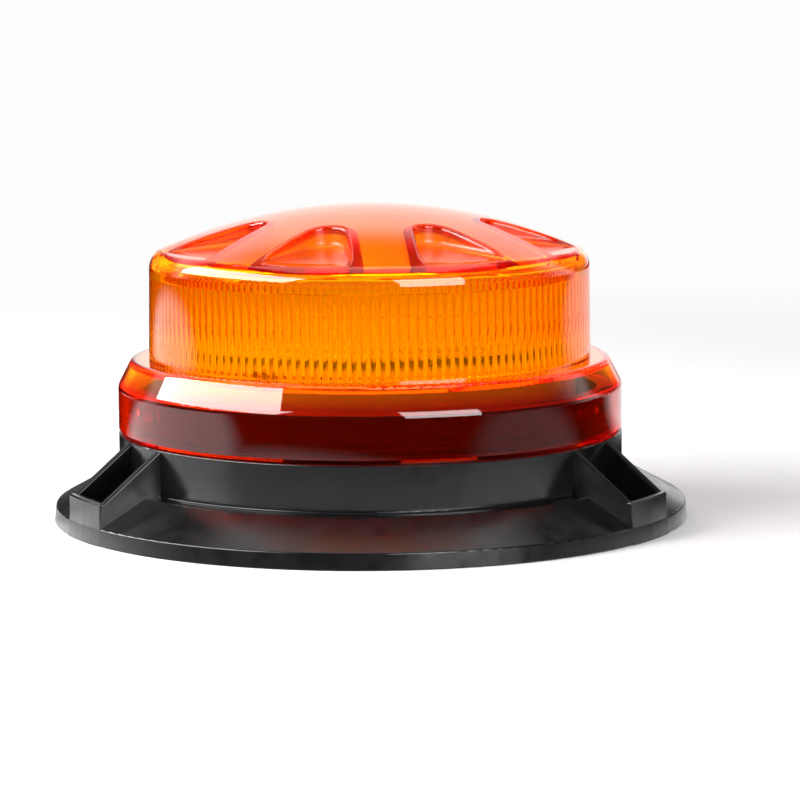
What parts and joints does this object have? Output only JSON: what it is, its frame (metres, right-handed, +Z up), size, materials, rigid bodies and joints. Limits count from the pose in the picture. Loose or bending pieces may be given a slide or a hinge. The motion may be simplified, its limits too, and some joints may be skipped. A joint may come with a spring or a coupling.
{
  "type": "led safety flare",
  "caption": "Low amber beacon: a ribbed, domed twist-off lens on a round black base with three bolt pockets, a magnetic underside and a battery door.",
  "frame": {"origin": "centre of the flange's flat underside, where the light stands on its surface", "axes": "+Z up along the axis of the round lens; -Y is the front, midway between two of the three bolt pockets; +X is to the right seen from the front; the third pocket is at +Y"},
  "size_m": [0.13, 0.13, 0.0639],
  "materials": {
    "housing_black": "satin moulded black ABS",
    "plate_black": "fine-grained black ABS",
    "tray_black": "matt black ABS",
    "seal_rubber": "matt black silicone rubber",
    "button_rubber": "matt dark grey rubber",
    "screw_steel": "zinc-plated steel",
    "magnet_steel": "plated steel pot",
    "magnet_nickel": "nickel-plated magnet",
    "contact_nickel": "nickel-plated spring steel",
    "cell_sleeve": "printed plastic sleeve, left plain",
    "lead_red": "red PVC insulation",
    "lead_black": "black PVC insulation",
    "switch_black": "black nylon",
    "board_green": "green solder mask",
    "board_white": "white solder mask",
    "chip_black": "black epoxy",
    "capacitor_metal": "drawn aluminium can",
    "tower_white": "white heat-conducting plastic",
    "reflector_white": "gloss white polycarbonate",
    "led_phosphor": "yellow phosphor under clear silicone",
    "lens_amber": "polished clear amber polycarbonate"
  },
  "bodies": {
    "base": {"base_housing": "housing_black", "base_plate": "plate_black", "base_plate_gasket": "seal_rubber", "base_plate_screws": "screw_steel", "battery_cell_1": "cell_sleeve", "battery_cell_2": "cell_sleeve", "battery_cell_3": "cell_sleeve", "battery_cell_4": "cell_sleeve", "battery_lead_black": "lead_black", "battery_lead_red": "lead_red", "battery_tray": "tray_black", "chip_resistors": "chip_black", "contact_plates": "contact_nickel", "contact_springs": "contact_nickel", "driver_board": "board_green", "driver_board_screws": "screw_steel", "driver_transistors": "chip_black", "hinge_pin": "screw_steel", "led_board_1": "board_white", "led_board_2": "board_white", "led_board_3": "board_white", "led_board_4": "board_white", "led_board_5": "board_white", "led_board_6": "board_white", "led_tower_core": "tower_white", "lens_o_ring": "seal_rubber", "magnet_cup_1": "magnet_steel", "magnet_cup_2": "magnet_steel", "magnet_cup_3": "magnet_steel", "magnet_screws": "screw_steel", "microcontroller": "chip_black", "power_inductor": "chip_black", "reflector": "reflector_white", "reflector_screws": "screw_steel", "ring_magnet_1": "magnet_nickel", "ring_magnet_2": "magnet_nickel", "ring_magnet_3": "magnet_nickel", "side_leds_1": "led_phosphor", "side_leds_2": "led_phosphor", "side_leds_3": "led_phosphor", "side_leds_4": "led_phosphor", "side_leds_5": "led_phosphor", "side_leds_6": "led_phosphor", "smoothing_capacitor": "capacitor_metal", "switch_board": "board_green", "switch_body": "switch_black", "switch_leads": "lead_black", "top_led_board": "board_white", "top_leds": "led_phosphor", "tower_screws": "screw_steel"},
    "lens_cover": {"lens": "lens_amber"},
    "door": {"battery_door": "plate_black", "door_seal": "seal_rubber"},
    "button": {"mode_button": "button_rubber", "switch_plunger": "switch_black"}
  },
  "joints": [
    {"name": "lens_turn", "type": "hinge", "parent": "base", "child": "lens_cover", "pos_m": [0, 0, 0.0205], "axis": [0, 0, 1], "range_deg": [0, 14]},
    {"name": "battery_door_swing", "type": "hinge", "parent": "base", "child": "door", "pos_m": [0, 0.0284, 0.0022], "axis": [1, 0, 0], "range_deg": [0, 100]},
    {"name": "mode_button_press", "type": "slide", "parent": "base", "child": "button", "axis": [-0.866, -0.5, 0], "range_m": [0, 0.0008], "stiffness_N_per_m": 1500}
  ]
}
